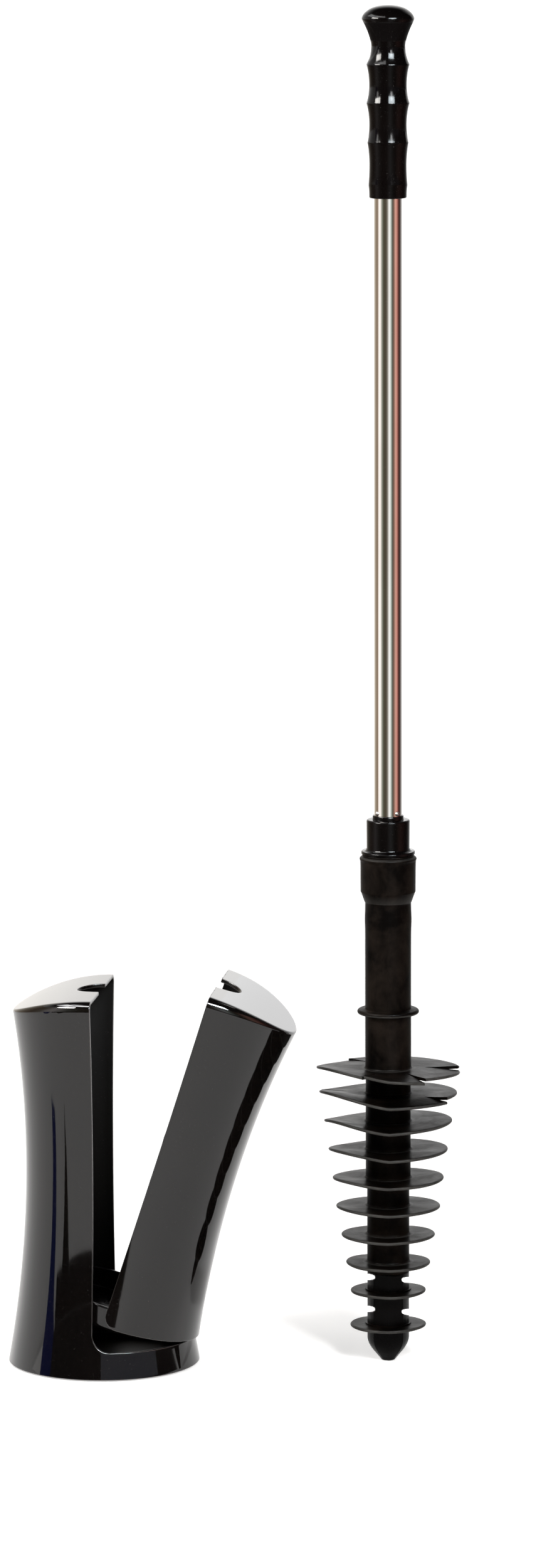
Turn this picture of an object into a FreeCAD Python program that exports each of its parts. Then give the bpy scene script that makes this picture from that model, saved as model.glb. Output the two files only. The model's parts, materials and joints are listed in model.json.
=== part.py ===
import FreeCAD, Part
import math
import os

# Toilet plunger with a finned rubber boot, standing beside its clamshell caddy.
#
# Millimetres, +Z up. The origin is on the floor at the centre of the caddy's base.
# The caddy's two halves part on the plane X = 0: the fixed half is at -X, and the
# hinged half is at +X. The hinge runs along Y. The hinged half is written at its open stop.

V = FreeCAD.Vector
ORIGIN = V(0, 0, 0)
UP = V(0, 0, 1)
ALONG_Y = V(0, 1, 0)

# Where the plunger stands, and the radial slack left between its nested pieces.
PLUNGER_X = 162.8
PLUNGER_Y = 16.8
SLIP = 0.05

# Handle: a steel tube between a ribbed grip and a ferrule. Heights are above the plunger's tip.
TUBE_R = 8.0
TUBE_WALL = 0.8
TUBE_LOW = 272.0
TUBE_HIGH = 748.0
PLUG_R = TUBE_R - TUBE_WALL - SLIP
GRIP_LOW = 668.8
GRIP_HIGH = 776.7
GRIP_BORE_TOP = 750.0
KNOB_CAP_R = 9.3
KNOB_CAP_RISE = 1.6
RIVET_Z = 319.3
RIVET_SHANK_R = 0.8
RIVET_HEAD_R = 1.4
RIVET_ANGLES = (45, 135, 225, 315)

# Ferrule between the tube and the rubber boot.
FERRULE_TOP = 316.3
SHOULDER_TOP = 313.9
FLANGE_TOP = 296.2
FLANGE_LOW = 294.0
FLANGE_R = 15.4
SPIGOT_R = 11.0
SPIGOT_LOW = 262.0
STUB_LOW = 240.0

# Rubber boot: a sleeve over the core tube that carries eight of the ten fins.
CORE_R = 10.0
CORE_BORE_R = 8.0
BOOT_LOW = 52.0
MOUTH_Z = 292.6
SLEEVE_UPPER_R = 13.15
SLEEVE_MIDDLE_R = 12.9
SLEEVE_LOWER_R = 12.1
STOP_RING_Z = 202.8
STOP_RING_R = 17.65
FIN_HALF_ROOT = 1.0
FIN_HALF_RIM = 0.85
FIN_FILLET = 1.2
# Each fin from the bottom up: height, radius, sleeve radius below it, sleeve radius above it.
FINS = (
    (57.5, 24.2, SLEEVE_LOWER_R, SLEEVE_LOWER_R),
    (74.0, 26.9, SLEEVE_LOWER_R, SLEEVE_LOWER_R),
    (90.5, 29.9, SLEEVE_LOWER_R, SLEEVE_LOWER_R),
    (107.0, 31.9, SLEEVE_LOWER_R, SLEEVE_MIDDLE_R),
    (123.5, 34.2, SLEEVE_MIDDLE_R, SLEEVE_MIDDLE_R),
    (140.0, 36.7, SLEEVE_MIDDLE_R, SLEEVE_MIDDLE_R),
    (156.5, 39.5, SLEEVE_MIDDLE_R, SLEEVE_MIDDLE_R),
    (171.0, 41.1, SLEEVE_MIDDLE_R, SLEEVE_UPPER_R),
)
# Radial slits that let the two widest fins fold: height, inner end, directions in degrees.
SLITS = (
    (171.0, 22.0, (11, 86, 158, 230, 302)),
    (156.5, 24.0, (173, 339)),
)
SLIT_WIDTH = 1.0

# Nose with its two push-on fins.
NOSE_R = 12.0
NOSE_TIP_R = 3.9
NOSE_SHOULDER_Z = 13.5
NOSE_STUB_TOP = 75.0
NOSE_GROOVE_R = 11.5
NOSE_GROOVE_HALF = 1.4
NOSE_FIN_UPPER_Z = 41.0
NOSE_FIN_UPPER_R = 21.6
NOSE_FIN_LOWER_Z = 21.0
NOSE_FIN_LOWER_R = 21.8
FLUTE_COUNT = 8
FLUTE_R = 2.4
FLUTE_AXIS_R = 13.7
# Side slots: height and direction. Each is flat-bottomed and leans with its neighbour opposite.
SIDE_SLOTS = ((48.6, 201), (46.5, 21), (29.9, 201), (28.0, 21))
SLOT_HEIGHT = 4.2
SLOT_FLOOR = 7.7
SLOT_LEAN = 6.0

# Caddy skin: an hourglass turned about Z under a crown whose ridge runs along Y.
WALL = 2.2
WAIST_R = 44.2
WAIST_Z = 118.0
FLARE_ARC = 638.6
FOOT_Z = 0.8
RIDGE_Z = 215.7
CROWN_ARC = 106.0
RIM_ROUND = 2.6
ABOVE_CADDY = 230.0
BESIDE_CADDY = 75.0
TOP_HOLE_R = 14.0

# Parting line between the halves.
RING_TOP = 16.0
FIXED_CORNER_R = 10.0
DOOR_EDGE_X = 0.4
DOOR_FOOT = 17.6
DOOR_CORNER_R = 8.0

# Hinge: its pin is held by two ears of the fixed half, and the knuckle turns on it.
PIVOT_X = 47.0
PIVOT_Z = 8.0
OPEN_ANGLE = 18.0
PIN_R = 1.5
EAR_HOLE_R = 1.52
KNUCKLE_HOLE_R = 1.56
KNUCKLE_R = 3.2
KNUCKLE_HALF = 8.6
EAR_INNER = 9.0
EAR_OUTER = 16.0
EAR_LEFT = 43.5
EAR_RIGHT = 50.0
EAR_TOP = 12.2

# Base: a plate screwed up into four bosses, on a bonded anti-slip pad.
PAD_R = 42.0
PLATE_LOW = 1.2
PLATE_TOP = 3.2
PLATE_R = 51.8
BASE_SCREW_ANGLES = (45, 135, 225, 315)
BASE_SCREW_AT = 46.5
BASE_BOSS_R = 4.0
BASE_BOSS_TOP = 12.5
BASE_SCREW_R = 1.4
BASE_HEAD_R = 3.0
BASE_SCREW_TOP = 11.0

# Drip cup, screwed into the hinged half.
CUP_R = 43.0
CUP_WALL = 2.0
CUP_LOW = 13.5
CUP_RIM = 27.0
CUP_ROUND = 3.0
LUG_ANGLES = (35, -35)
LUG_AT = 46.0
LUG_LOW = 22.0
LUG_TOP = 25.2
LUG_WIDTH = 9.0
LUG_REACH = 47.6
CUP_BOSS_R = 2.6
CUP_BOSS_TOP = 34.0
CUP_SCREW_R = 1.2
CUP_HEAD_R = 2.4
CUP_HEAD_HEIGHT = 1.8
CUP_SCREW_TOP = 32.0
ARM_LEFT = 41.2
ARM_RIGHT = 46.2
ARM_TOP = 22.0


# ---- Helpers ----

def at(point):
    """Point of an outline drawn as (across, up) in the XZ plane."""
    return V(point[0], 0, point[1])


def outline(start, *moves):
    """Closed face in the XZ plane. A move is an end point, or (through, end) for an arc."""
    edges = []
    here = start
    for move in moves + (start,):
        if isinstance(move[0], tuple):
            through, end = move
            edges.append(Part.Arc(at(here), at(through), at(end)).toShape())
        else:
            end = move
            edges.append(Part.makeLine(at(here), at(end)))
        here = end
    return Part.Face(Part.Wire(edges))


def turned(start, *moves):
    """Solid of revolution about Z."""
    return outline(start, *moves).revolve(ORIGIN, UP, 360)


def slab(start, *moves):
    """XZ outline extruded along Y, right across the caddy."""
    block = outline(start, *moves).extrude(V(0, 2 * BESIDE_CADDY, 0))
    block.translate(V(0, -BESIDE_CADDY, 0))
    return block


def ring(inner, outer, low, high):
    return turned((inner, low), (outer, low), (outer, high), (inner, high))


def post(radius, low, high, distance=0.0, angle=0.0):
    """Upright cylinder, at a distance from the Z axis in the given direction."""
    shape = Part.makeCylinder(radius, high - low, V(distance, 0, low))
    shape.rotate(ORIGIN, UP, angle)
    return shape


def spoke(radius, inner, outer, height, angle):
    """Cylinder lying along a radius of the Z axis."""
    shape = Part.makeCylinder(radius, outer - inner, V(inner, 0, height), V(1, 0, 0))
    shape.rotate(ORIGIN, UP, angle)
    return shape


def radial_box(inner, outer, width, low, high, angle):
    shape = Part.makeBox(outer - inner, width, high - low, V(inner, -width / 2, low))
    shape.rotate(ORIGIN, UP, angle)
    return shape


def cylinder_y(radius, low, high):
    """Cylinder along Y on the hinge axis."""
    return Part.makeCylinder(radius, high - low, V(PIVOT_X, low, PIVOT_Z), ALONG_Y)


def fused(first, others):
    return first.fuse(list(others)).removeSplitter()


def without(first, others):
    return first.cut(list(others))


# ---- Plunger ----

def grip():
    """Moulded grip: finger ribs with crisp crests, a narrow neck and a mushroom knob."""
    cap_arc = (KNOB_CAP_R ** 2 + KNOB_CAP_RISE ** 2) / (2 * KNOB_CAP_RISE)
    half = KNOB_CAP_R / 2
    cap_middle = (half, GRIP_HIGH - cap_arc + math.sqrt(cap_arc ** 2 - half ** 2))
    return turned(
        (TUBE_R + SLIP, GRIP_LOW),
        (10.1, GRIP_LOW),
        ((10.45, GRIP_LOW + 0.15), (10.6, GRIP_LOW + 0.5)),
        (11.0, 676.0),
        ((10.55, 686.0), (11.6, 699.0)),
        ((10.6, 708.3), (12.1, 720.4)),
        ((10.7, 731.3), (12.1, 742.0)),
        ((10.2, 752.0), (10.85, 758.3)),
        ((12.5, 762.8), (14.3, 767.0)),
        ((14.8, 769.0), (14.1, 771.0)),
        ((12.3, 773.2), (KNOB_CAP_R, GRIP_HIGH - KNOB_CAP_RISE)),
        (cap_middle, (0, GRIP_HIGH)),
        (0, GRIP_BORE_TOP),
        (TUBE_R + SLIP, GRIP_BORE_TOP),
    )


def tube_top_plug():
    """Headed plug that closes the tube under the knob."""
    return turned(
        (0, 730.0), (PLUG_R, 730.0), (PLUG_R, TUBE_HIGH), (TUBE_R, TUBE_HIGH),
        (TUBE_R, GRIP_BORE_TOP - 0.2), (0, GRIP_BORE_TOP - 0.2),
    )


def rivet_holes(inner, outer):
    return [spoke(RIVET_SHANK_R + SLIP, inner, outer, RIVET_Z, angle) for angle in RIVET_ANGLES]


def handle_tube():
    tube = ring(TUBE_R - TUBE_WALL, TUBE_R, TUBE_LOW, TUBE_HIGH)
    return without(tube, rivet_holes(TUBE_R - 2 * TUBE_WALL, TUBE_R + TUBE_WALL))


def tube_bottom_plug():
    """Plug that backs the tube inside the ferrule and takes the rivets."""
    plug = post(PLUG_R, TUBE_LOW, RIVET_Z + 12.7)
    return without(plug, rivet_holes(PLUG_R - 3.2, PLUG_R + 1.0))


def rivet(angle):
    """Shank through the tube wall under a low domed head."""
    dome = Part.makeSphere(RIVET_HEAD_R, V(TUBE_R - 0.3, 0, RIVET_Z))
    dome = without(dome, [post(TUBE_R, RIVET_Z - 5, RIVET_Z + 5)])
    dome.rotate(ORIGIN, UP, angle)
    shank = spoke(RIVET_SHANK_R, PLUG_R - 3.0, TUBE_R + 0.3, RIVET_Z, angle)
    return fused(dome, [shank])


def tube_rivets():
    return Part.makeCompound([rivet(angle) for angle in RIVET_ANGLES])


def ferrule():
    """Socket for the tube, with a flange over the boot's mouth and a spigot down inside it."""
    return turned(
        (0, STUB_LOW),
        (CORE_BORE_R - SLIP, STUB_LOW),
        (CORE_BORE_R - SLIP, SPIGOT_LOW),
        (SPIGOT_R, SPIGOT_LOW),
        (SPIGOT_R, FLANGE_LOW),
        (FLANGE_R - 0.3, FLANGE_LOW),
        (FLANGE_R, FLANGE_LOW + 0.3),
        (FLANGE_R, FLANGE_TOP - 0.7),
        ((FLANGE_R - 0.2, FLANGE_TOP - 0.2), (FLANGE_R - 0.7, FLANGE_TOP)),
        (12.2, FLANGE_TOP),
        (12.4, SHOULDER_TOP - 1.0),
        ((12.1, SHOULDER_TOP - 0.3), (11.4, SHOULDER_TOP)),
        (8.9, SHOULDER_TOP),
        (8.8, FERRULE_TOP),
        (TUBE_R + SLIP, FERRULE_TOP),
        (TUBE_R + SLIP, TUBE_LOW),
        (0, TUBE_LOW),
    )


def mouth_gasket():
    return ring(SPIGOT_R + SLIP, FLANGE_R - 0.6, MOUTH_Z, FLANGE_LOW)


def core_tube():
    """Stiff tube that carries the rubber boot."""
    return ring(CORE_BORE_R, CORE_R, BOOT_LOW, SPIGOT_LOW)


def fin_moves(height, radius, sleeve_below, sleeve_above):
    """Outline of one fin, from its lower root fillet to its upper one."""
    low = height - FIN_HALF_ROOT
    high = height + FIN_HALF_ROOT
    bend = FIN_FILLET * (1 - math.cos(math.radians(45)))
    return [
        (sleeve_below, low - FIN_FILLET),
        ((sleeve_below + bend, low - bend), (sleeve_below + FIN_FILLET, low)),
        (radius - FIN_HALF_RIM, height - FIN_HALF_RIM),
        ((radius, height), (radius - FIN_HALF_RIM, height + FIN_HALF_RIM)),
        (sleeve_above + FIN_FILLET, high),
        ((sleeve_above + bend, high + bend), (sleeve_above, high + FIN_FILLET)),
    ]


def slit_cutters():
    cutters = []
    for height, inner, angles in SLITS:
        for angle in angles:
            cutters.append(radial_box(inner, 45, SLIT_WIDTH, height - 3, height + 3, angle))
    return cutters


def finned_boot():
    """Rubber sleeve with a thick mouth, a stop ring and eight fins."""
    moves = [(SLEEVE_LOWER_R, BOOT_LOW)]
    for fin in FINS:
        moves += fin_moves(*fin)
    stop_low = STOP_RING_Z - 1.3
    stop_high = STOP_RING_Z + 1.3
    moves += [
        (SLEEVE_UPPER_R, stop_low),
        (STOP_RING_R - 1.3, stop_low),
        ((STOP_RING_R, STOP_RING_Z), (STOP_RING_R - 1.3, stop_high)),
        (SLEEVE_UPPER_R, stop_high),
        (SLEEVE_UPPER_R, 252.0),
        ((SLEEVE_UPPER_R + 0.2, 258.0), (SLEEVE_UPPER_R - 0.05, 266.0)),
        ((13.6, 269.6), (15.7, 273.3)),
        (15.9, 290.0),
        ((16.3, 291.3), (15.9, MOUTH_Z)),
        (SPIGOT_R + SLIP, MOUTH_Z),
        (SPIGOT_R + SLIP, SPIGOT_LOW),
        (CORE_R + SLIP, SPIGOT_LOW),
    ]
    return without(turned((CORE_R + SLIP, BOOT_LOW), *moves), slit_cutters())


def side_slot(height, angle):
    """Cutter for one flat-bottomed slot across the side of the nose."""
    cutter = Part.makeBox(10, 2 * NOSE_R, SLOT_HEIGHT, V(SLOT_FLOOR, -NOSE_R, height - SLOT_HEIGHT / 2))
    cutter.rotate(V(0, 0, height), ALONG_Y, SLOT_LEAN if angle < 90 else -SLOT_LEAN)
    cutter.rotate(ORIGIN, UP, angle)
    return cutter


def nose_grooves():
    """Cutters for the seats of the two push-on fins."""
    return [
        ring(NOSE_GROOVE_R, NOSE_R + 1, height - NOSE_GROOVE_HALF, height + NOSE_GROOVE_HALF)
        for height in (NOSE_FIN_UPPER_Z, NOSE_FIN_LOWER_Z)
    ]


def nose():
    """Bullet nose with a stub up into the core tube, flutes at the tip and slots in its sides."""
    body = turned(
        (0, 0),
        (NOSE_TIP_R, 0),
        ((9.8, 5.6), (NOSE_R, NOSE_SHOULDER_Z)),
        (NOSE_R, BOOT_LOW),
        (CORE_BORE_R - SLIP, BOOT_LOW),
        (CORE_BORE_R - SLIP, NOSE_STUB_TOP),
        (0, NOSE_STUB_TOP),
    )
    step = 360 / FLUTE_COUNT
    flute_top = NOSE_FIN_LOWER_Z - 3
    flutes = [post(FLUTE_R, -1, flute_top, FLUTE_AXIS_R, n * step) for n in range(FLUTE_COUNT)]
    slots = [side_slot(height, angle) for height, angle in SIDE_SLOTS]
    return without(body, flutes + slots + nose_grooves())


def nose_fin(height, radius):
    """Push-on rubber fin with a short hub seated in the nose's groove."""
    hub = NOSE_GROOVE_HALF - SLIP
    hub_r = NOSE_R + 1.2
    return turned(
        (NOSE_GROOVE_R + SLIP, height - hub),
        (hub_r, height - hub),
        (hub_r + 0.5, height - FIN_HALF_ROOT),
        (radius - FIN_HALF_RIM, height - FIN_HALF_RIM),
        ((radius, height), (radius - FIN_HALF_RIM, height + FIN_HALF_RIM)),
        (hub_r + 0.5, height + FIN_HALF_ROOT),
        (hub_r, height + hub),
        (NOSE_GROOVE_R + SLIP, height + hub),
    )


# ---- Caddy ----

def flare_r(height, inset=0.0):
    """Radius of the caddy's side at a height, or of a surface inset from it."""
    reach = FLARE_ARC + inset
    return WAIST_R + FLARE_ARC - math.sqrt(reach ** 2 - (height - WAIST_Z) ** 2)


def hourglass(low, inset=0.0, seam=0.0):
    """Solid inside the turned side. Its surface seam is turned away from the half in hand."""
    side = (flare_r(WAIST_Z, inset), WAIST_Z)
    top = (flare_r(ABOVE_CADDY, inset), ABOVE_CADDY)
    shape = turned((0, low), (flare_r(low, inset), low), (side, top), (0, ABOVE_CADDY))
    shape.rotate(ORIGIN, UP, seam)
    return shape


def under_crown(inset=0.0):
    """Everything below the arched top."""
    radius = CROWN_ARC - inset
    centre_z = RIDGE_Z - CROWN_ARC
    shoulder = centre_z + math.sqrt(radius ** 2 - BESIDE_CADDY ** 2)
    return slab(
        (-BESIDE_CADDY, -5), (BESIDE_CADDY, -5), (BESIDE_CADDY, shoulder),
        ((0, centre_z + radius), (-BESIDE_CADDY, shoulder)),
    )


def outside(seam):
    """Whole caddy as one solid block."""
    return hourglass(FOOT_Z, 0.0, seam).common(under_crown())


def hollowed(half, seam):
    """Half of the block with its rim rounded, made into a shell with half of the top hole."""
    rim = [edge for edge in half.Edges if edge.BoundBox.ZMin > 190 and edge.BoundBox.XLength > 5]
    rounded = half.makeFillet(RIM_ROUND, rim)
    inside = hourglass(FOOT_Z - 1, WALL, seam).common(under_crown(WALL))
    return without(rounded, [inside, post(TOP_HOLE_R, WAIST_Z, ABOVE_CADDY)])


def door_region(edge_x, foot, corner):
    """Space on the +X side above the ring, with its lower inner corner rounded."""
    bend = corner * (1 - math.cos(math.radians(45)))
    return slab(
        (edge_x, ABOVE_CADDY),
        (edge_x, foot + corner),
        ((edge_x + bend, foot + bend), (edge_x + corner, foot)),
        (BESIDE_CADDY, foot),
        (BESIDE_CADDY, ABOVE_CADDY),
    )


def hinge_ears():
    width = EAR_OUTER - EAR_INNER
    size = (EAR_RIGHT - EAR_LEFT, width, EAR_TOP - PLATE_TOP)
    return [Part.makeBox(*size, V(EAR_LEFT, low, PLATE_TOP)) for low in (EAR_INNER, -EAR_OUTER)]


def base_bosses():
    """Screw bosses, each joined to the wall by a rib."""
    pieces = []
    for angle in BASE_SCREW_ANGLES:
        pieces.append(post(BASE_BOSS_R, PLATE_TOP, BASE_BOSS_TOP, BASE_SCREW_AT, angle))
        pieces.append(radial_box(BASE_SCREW_AT, 51.9, 3.0, PLATE_TOP, BASE_BOSS_TOP, angle))
    return pieces


def fixed_shell():
    """Fixed half: the -X side at full height, and the whole ring at the foot."""
    half = without(outside(0), [door_region(0, RING_TOP, FIXED_CORNER_R)])
    shell = fused(hollowed(half, 0), hinge_ears() + base_bosses())
    hole_r = BASE_SCREW_R + SLIP
    holes = [
        post(hole_r, PLATE_TOP - 1, BASE_SCREW_TOP + 0.5, BASE_SCREW_AT, angle)
        for angle in BASE_SCREW_ANGLES
    ]
    return without(shell, holes + [cylinder_y(EAR_HOLE_R, -EAR_OUTER - 1, EAR_OUTER + 1)])


def base_plate():
    plate = post(PLATE_R, PLATE_LOW, PLATE_TOP)
    cutters = []
    for angle in BASE_SCREW_ANGLES:
        cutters.append(post(BASE_SCREW_R + 0.2, 0, PLATE_TOP + 1, BASE_SCREW_AT, angle))
        cutters.append(screw_head(BASE_HEAD_R + 0.1, angle))
    return without(plate, cutters)


def screw_head(radius, angle):
    """Countersunk head whose wide end is flush with the plate's underside."""
    cone = Part.makeCone(radius, BASE_SCREW_R, 1.6, V(BASE_SCREW_AT, 0, PLATE_LOW))
    cone.rotate(ORIGIN, UP, angle)
    return cone


def base_screws():
    screws = []
    for angle in BASE_SCREW_ANGLES:
        shank = post(BASE_SCREW_R, PLATE_LOW, BASE_SCREW_TOP, BASE_SCREW_AT, angle)
        screws.append(fused(screw_head(BASE_HEAD_R, angle), [shank]))
    return Part.makeCompound(screws)


def base_pad():
    return post(PAD_R, 0, PLATE_LOW)


def hinge_pin():
    return cylinder_y(PIN_R, 0.2 - EAR_OUTER, EAR_OUTER - 0.2)


def door_shell():
    """Hinged half, closed, with two bosses that the drip cup is screwed to."""
    half = outside(180).common(door_region(DOOR_EDGE_X, DOOR_FOOT, DOOR_CORNER_R))
    additions = []
    holes = []
    for angle in LUG_ANGLES:
        additions.append(post(CUP_BOSS_R, LUG_TOP, CUP_BOSS_TOP, LUG_AT, angle))
        additions.append(radial_box(LUG_AT, 48.9, 3.0, LUG_TOP, CUP_BOSS_TOP, angle))
        holes.append(post(CUP_SCREW_R + SLIP, LUG_TOP - 1, CUP_SCREW_TOP + 0.5, LUG_AT, angle))
    return without(fused(hollowed(half, 180), additions), holes)


def drip_cup():
    """Round cup that the nose stands in, with its lugs and the hinge knuckle."""
    inner = CUP_R - CUP_WALL
    floor = CUP_LOW + CUP_WALL
    cup = turned(
        (0, CUP_LOW),
        (CUP_R - CUP_ROUND, CUP_LOW),
        ((CUP_R - 0.88, CUP_LOW + 0.88), (CUP_R, CUP_LOW + CUP_ROUND)),
        (CUP_R, CUP_RIM - CUP_WALL / 2),
        ((CUP_R - CUP_WALL / 2, CUP_RIM), (inner, CUP_RIM - CUP_WALL / 2)),
        (inner, floor + 1),
        ((inner - 0.3, floor + 0.3), (inner - 1, floor)),
        (0, floor),
    )
    arm_size = (ARM_RIGHT - ARM_LEFT, 2 * KNUCKLE_HALF, ARM_TOP - PIVOT_Z)
    arm = Part.makeBox(*arm_size, V(ARM_LEFT, -KNUCKLE_HALF, PIVOT_Z))
    knuckle = cylinder_y(KNUCKLE_R, -KNUCKLE_HALF, KNUCKLE_HALF)
    lugs = [radial_box(CUP_R - 0.8, LUG_REACH, LUG_WIDTH, LUG_LOW, LUG_TOP, a) for a in LUG_ANGLES]
    holes = [post(CUP_SCREW_R + 0.2, LUG_LOW - 1, LUG_TOP + 1, LUG_AT, a) for a in LUG_ANGLES]
    bore = cylinder_y(KNUCKLE_HOLE_R, -KNUCKLE_HALF - 1, KNUCKLE_HALF + 1)
    return without(fused(cup, [arm, knuckle] + lugs), holes + [bore])


def cup_screws():
    screws = []
    for angle in LUG_ANGLES:
        head = post(CUP_HEAD_R, LUG_LOW - CUP_HEAD_HEIGHT, LUG_LOW, LUG_AT, angle)
        shank = post(CUP_SCREW_R, LUG_LOW - 1, CUP_SCREW_TOP, LUG_AT, angle)
        screws.append(fused(head, [shank]))
    return Part.makeCompound(screws)


# ---- Assembly ----

PLUNGER = {
    "grip": grip(),
    "tube_top_plug": tube_top_plug(),
    "handle_tube": handle_tube(),
    "tube_bottom_plug": tube_bottom_plug(),
    "tube_rivets": tube_rivets(),
    "ferrule": ferrule(),
    "mouth_gasket": mouth_gasket(),
    "core_tube": core_tube(),
    "finned_boot": finned_boot(),
    "nose": nose(),
    "nose_fin_upper": nose_fin(NOSE_FIN_UPPER_Z, NOSE_FIN_UPPER_R),
    "nose_fin_lower": nose_fin(NOSE_FIN_LOWER_Z, NOSE_FIN_LOWER_R),
}
CADDY = {
    "fixed_shell": fixed_shell(),
    "base_plate": base_plate(),
    "base_screws": base_screws(),
    "base_pad": base_pad(),
    "hinge_pin": hinge_pin(),
}
DOOR = {
    "door_shell": door_shell(),
    "drip_cup": drip_cup(),
    "cup_screws": cup_screws(),
}


def write(name, shape):
    print(name, "valid", shape.isValid(), "solids", len(shape.Solids), "volume", round(shape.Volume))
    shape.exportStep("parts/" + name + ".step")


os.makedirs("parts", exist_ok=True)
for name, shape in PLUNGER.items():
    shape.translate(V(PLUNGER_X, PLUNGER_Y, 0))
    write(name, shape)
for name, shape in CADDY.items():
    write(name, shape)
for name, shape in DOOR.items():
    shape.rotate(V(PIVOT_X, 0, PIVOT_Z), ALONG_Y, OPEN_ANGLE)
    write(name, shape)
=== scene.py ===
import json
import math
from math import acos, asin, cos, exp, hypot, pi, radians, sin, sqrt, tan

import bpy
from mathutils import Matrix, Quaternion, Vector, noise


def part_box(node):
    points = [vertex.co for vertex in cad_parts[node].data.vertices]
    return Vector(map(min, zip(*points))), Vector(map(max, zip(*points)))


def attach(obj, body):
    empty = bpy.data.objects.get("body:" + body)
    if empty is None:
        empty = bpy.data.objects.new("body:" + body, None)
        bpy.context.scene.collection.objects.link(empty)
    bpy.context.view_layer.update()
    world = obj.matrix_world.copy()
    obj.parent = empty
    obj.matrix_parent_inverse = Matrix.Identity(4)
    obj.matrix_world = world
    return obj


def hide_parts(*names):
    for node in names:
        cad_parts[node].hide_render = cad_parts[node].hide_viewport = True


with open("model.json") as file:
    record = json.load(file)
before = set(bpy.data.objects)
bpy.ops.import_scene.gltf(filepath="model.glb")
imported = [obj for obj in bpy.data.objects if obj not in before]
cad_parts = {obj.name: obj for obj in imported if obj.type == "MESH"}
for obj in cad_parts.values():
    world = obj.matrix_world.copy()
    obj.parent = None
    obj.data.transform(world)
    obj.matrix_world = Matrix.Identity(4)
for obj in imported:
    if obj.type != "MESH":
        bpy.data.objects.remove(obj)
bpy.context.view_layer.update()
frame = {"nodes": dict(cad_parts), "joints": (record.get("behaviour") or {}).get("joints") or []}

# Looks for the finned toilet plunger and its clamshell caddy. Metres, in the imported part's frame:
# +Z up, floor at Z = 0, caddy round the Z axis, its fixed half at -X and its hinged half at +X.

SCENE = bpy.context.scene
MM = 0.001


def upward(height):
    return Vector((0, 0, height))


def box_centre(node):
    low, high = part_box(node)
    return (low + high) / 2


# ---- Places read from the frame ----

JOINTS = {joint["name"]: joint for joint in frame["joints"]}
SWING = JOINTS["door_swing"]
HINGE = Vector(SWING["pos_m"])
OPEN_ANGLE = radians(max(SWING["range_deg"]))
TUBE_CENTRE = box_centre("handle_tube")
AXIS = Vector((TUBE_CENTRE.x, TUBE_CENTRE.y, 0))


# ---- Camera: a long lens a little above the caddy, turned slightly to the hinged side ----

CAMERA_TURN = radians(6.5)
CAMERA_RANGE = 4.0
CAMERA_HEIGHT = 0.97
CAMERA_ROLL = -0.0029
AIM_RIGHT = 0.0953
AIM_HEIGHT = 0.3355
LENS_MM = 163.4
RIGHT = Vector((cos(CAMERA_TURN), sin(CAMERA_TURN), 0))
AWAY = Vector((-sin(CAMERA_TURN), cos(CAMERA_TURN), 0))


def make_camera():
    data = bpy.data.cameras.new("camera")
    camera = bpy.data.objects.new("camera", data)
    SCENE.collection.objects.link(camera)
    data.lens = LENS_MM
    data.sensor_width = 36.0
    data.clip_end = 100.0
    aim = RIGHT * AIM_RIGHT + upward(AIM_HEIGHT)
    camera.location = RIGHT * AIM_RIGHT - AWAY * CAMERA_RANGE + upward(CAMERA_HEIGHT)
    camera.rotation_mode = "QUATERNION"
    level = (aim - camera.location).to_track_quat("-Z", "Y")
    camera.rotation_quaternion = level @ Quaternion((0, 0, 1), CAMERA_ROLL)
    SCENE.camera = camera


make_camera()


# ---- Material helpers ----

class Nodes:
    """A node tree with short calls for adding and joining nodes."""

    def __init__(self, tree):
        self.tree = tree
        self.tree.nodes.clear()

    def add(self, kind, **settings):
        node = self.tree.nodes.new("ShaderNode" + kind)
        for key, value in settings.items():
            setattr(node, key, value)
        return node

    def fill(self, inputs, **values):
        """Sets constants on a node's inputs. An underscore stands for a space in an input's name."""
        for name, value in values.items():
            inputs[name.replace("_", " ")].default_value = value

    def join(self, source, target):
        self.tree.links.new(source, target)

    def noise(self, vector, scale=1.0, detail=3.0, roughness=0.5, distortion=0.0):
        node = self.add("TexNoise")
        self.fill(node.inputs, Scale=scale, Detail=detail, Roughness=roughness, Distortion=distortion)
        self.join(vector, node.inputs["Vector"])
        return node.outputs["Fac"]

    def remap(self, value, low, high, to_low=0.0, to_high=1.0):
        node = self.add("MapRange")
        self.fill(node.inputs, From_Min=low, From_Max=high, To_Min=to_low, To_Max=to_high)
        self.join(value, node.inputs["Value"])
        return node.outputs["Result"]

    def math(self, operation, first, second):
        node = self.add("Math", operation=operation)
        for socket, value in zip(node.inputs, (first, second)):
            if isinstance(value, (int, float)):
                socket.default_value = value
            else:
                self.join(value, socket)
        return node.outputs["Value"]

    def blend(self, factor, first, second):
        """Colour between two others."""
        node = self.add("Mix", data_type="RGBA")
        self.join(factor, node.inputs[0])
        for socket, value in ((node.inputs[6], first), (node.inputs[7], second)):
            if isinstance(value, tuple):
                socket.default_value = (*value, 1.0)
            else:
                self.join(value, socket)
        return node.outputs[2]

    def stretch(self, vector, scale):
        node = self.add("Mapping")
        self.fill(node.inputs, Scale=scale)
        self.join(vector, node.inputs["Vector"])
        return node.outputs["Vector"]

    def bump(self, height, distance, strength=1.0, normal=None):
        node = self.add("Bump")
        self.fill(node.inputs, Strength=strength, Distance=distance)
        self.join(height, node.inputs["Height"])
        if normal is not None:
            self.join(normal, node.inputs["Normal"])
        return node.outputs["Normal"]


def blank_material(name):
    material = bpy.data.materials.new(name)
    material.use_nodes = True
    return material, Nodes(material.node_tree)


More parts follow.
